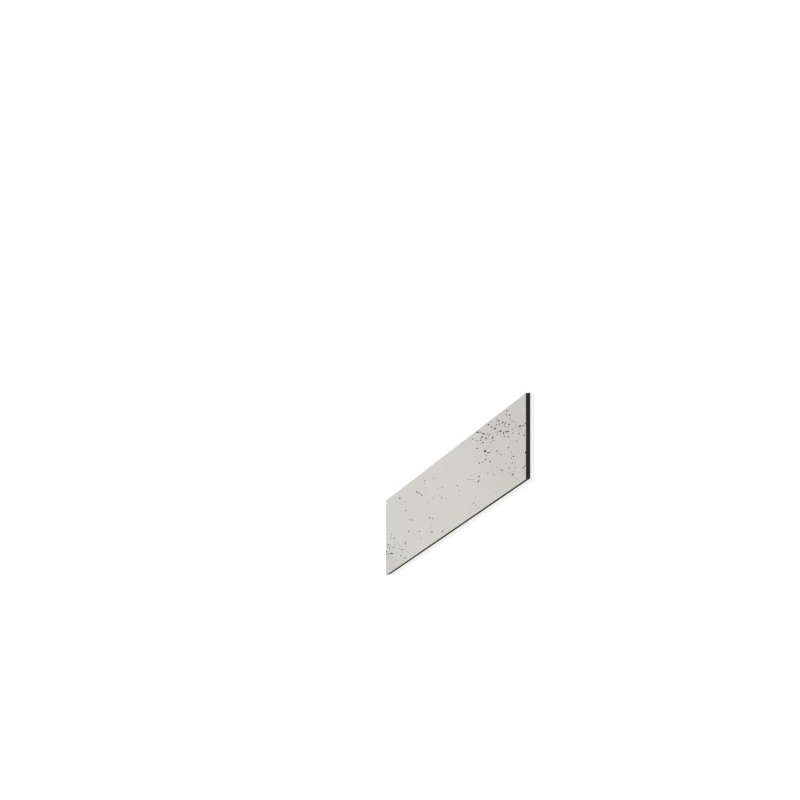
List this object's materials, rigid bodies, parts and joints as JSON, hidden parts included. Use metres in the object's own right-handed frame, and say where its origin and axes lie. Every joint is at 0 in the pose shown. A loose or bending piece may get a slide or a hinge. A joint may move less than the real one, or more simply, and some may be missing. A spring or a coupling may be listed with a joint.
{
  "type": "chevron concrete wall panel",
  "caption": "Flat parallelogram panel of cast concrete with mitred ends and air voids in its show face, laid in columns as chevron wall cladding.",
  "frame": {"origin": "middle of the back face, where the panel lies on a surface or is bedded on a wall", "axes": "+X along the long edges, +Y across the panel, +Z out of the show face"},
  "size_m": [0.6336, 0.1638, 0.02],
  "materials": {
    "concrete": "matt fair-faced concrete with open air voids"
  },
  "bodies": {
    "root": {"panel": "concrete"}
  },
  "joints": []
}
